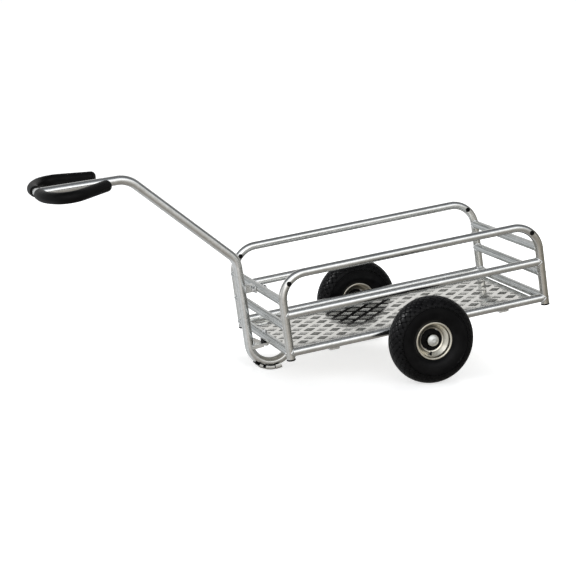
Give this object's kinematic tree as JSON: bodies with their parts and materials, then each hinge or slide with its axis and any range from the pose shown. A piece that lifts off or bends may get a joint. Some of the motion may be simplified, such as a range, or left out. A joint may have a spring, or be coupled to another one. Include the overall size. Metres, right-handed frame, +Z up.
{
  "type": "two-wheel hand cart",
  "caption": "Galvanised tube hand cart with a chequer-plate floor, two pneumatic wheels on a cross axle and a bent drawbar with a foam-gripped horseshoe handle and a curved parking foot.",
  "frame": {"origin": "on the ground, in the middle of the cart's whole length and width; the axle is 344.6 mm behind it", "axes": "+X towards the rear of the load bed, -X towards the pulling handle, +Y to the far side wheel, +Z up; the cart stands parked on both tyres and the drawbar's foot, so its frame is pitched 8.3 degrees nose-down"},
  "size_m": [1.5155, 0.725, 0.607],
  "materials": {
    "galvanised": "galvanised tube, satin with faint mottling and bright weld beads",
    "tread_plate": "bright rolled five-bar tread plate",
    "zinc_rim": "pressed steel, bright zinc with a faint warm passivation",
    "bright_steel": "bright zinc-plated hardware",
    "black_plastic": "moulded black plastic, slight sheen",
    "foam": "closed-cell foam sleeve, fine matte skin",
    "rubber": "black moulded rubber, matte",
    "tyre": "black tyre rubber with a block tread"
  },
  "bodies": {
    "chassis": {"side_hoop_near": "galvanised", "side_hoop_far": "galvanised", "mid_rail_near": "galvanised", "mid_rail_far": "galvanised", "bottom_rail_near": "galvanised", "bottom_rail_far": "galvanised", "front_bar_bottom": "galvanised", "front_bar_middle": "galvanised", "front_bar_top": "galvanised", "rear_bar_bottom": "galvanised", "rear_bar_middle": "galvanised", "rear_bar_top": "galvanised", "floor_bearer_front": "galvanised", "floor_bearer_rear": "galvanised", "axle_channel": "galvanised", "handle_loop": "galvanised", "drawbar": "galvanised", "foot_shoe": "galvanised", "tail_strap": "galvanised", "drawbar_bracket_upper": "galvanised", "drawbar_bracket_lower": "galvanised", "leg_cap_front_near": "black_plastic", "leg_cap_front_far": "black_plastic", "leg_cap_rear_near": "black_plastic", "leg_cap_rear_far": "black_plastic", "corner_plug_front_near": "black_plastic", "corner_plug_front_far": "black_plastic", "corner_plug_rear_near": "black_plastic", "corner_plug_rear_far": "black_plastic", "axle": "bright_steel", "axle_bolt_near": "bright_steel", "axle_bolt_far": "bright_steel", "axle_cap_near": "bright_steel", "axle_cap_far": "bright_steel", "upper_bolt_near": "bright_steel", "upper_bolt_far": "bright_steel", "upper_nut_near": "bright_steel", "upper_nut_far": "bright_steel", "lower_bolt": "bright_steel", "lower_nut": "bright_steel", "foot_screw_front": "bright_steel", "foot_screw_rear": "bright_steel", "floor_plate": "tread_plate", "grip_near": "foam", "grip_far": "foam", "foot_rubber": "rubber", "lower_saddle": "rubber"},
    "wheel_near": {"tyre_near": "tyre", "rim_near": "zinc_rim", "inner_tube_near": "rubber", "hub_near": "black_plastic", "bearing_outer_near": "bright_steel", "bearing_inner_near": "bright_steel"},
    "wheel_far": {"tyre_far": "tyre", "rim_far": "zinc_rim", "inner_tube_far": "rubber", "hub_far": "black_plastic", "bearing_outer_far": "bright_steel", "bearing_inner_far": "bright_steel"}
  },
  "joints": [
    {"name": "wheel_near_spin", "type": "hinge", "parent": "chassis", "child": "wheel_near", "pos_m": [0.3446, -0.324, 0.13], "axis": [0, 1, 0], "continuous": true},
    {"name": "wheel_far_spin", "type": "hinge", "parent": "chassis", "child": "wheel_far", "pos_m": [0.3446, 0.324, 0.13], "axis": [0, 1, 0], "continuous": true}
  ]
}
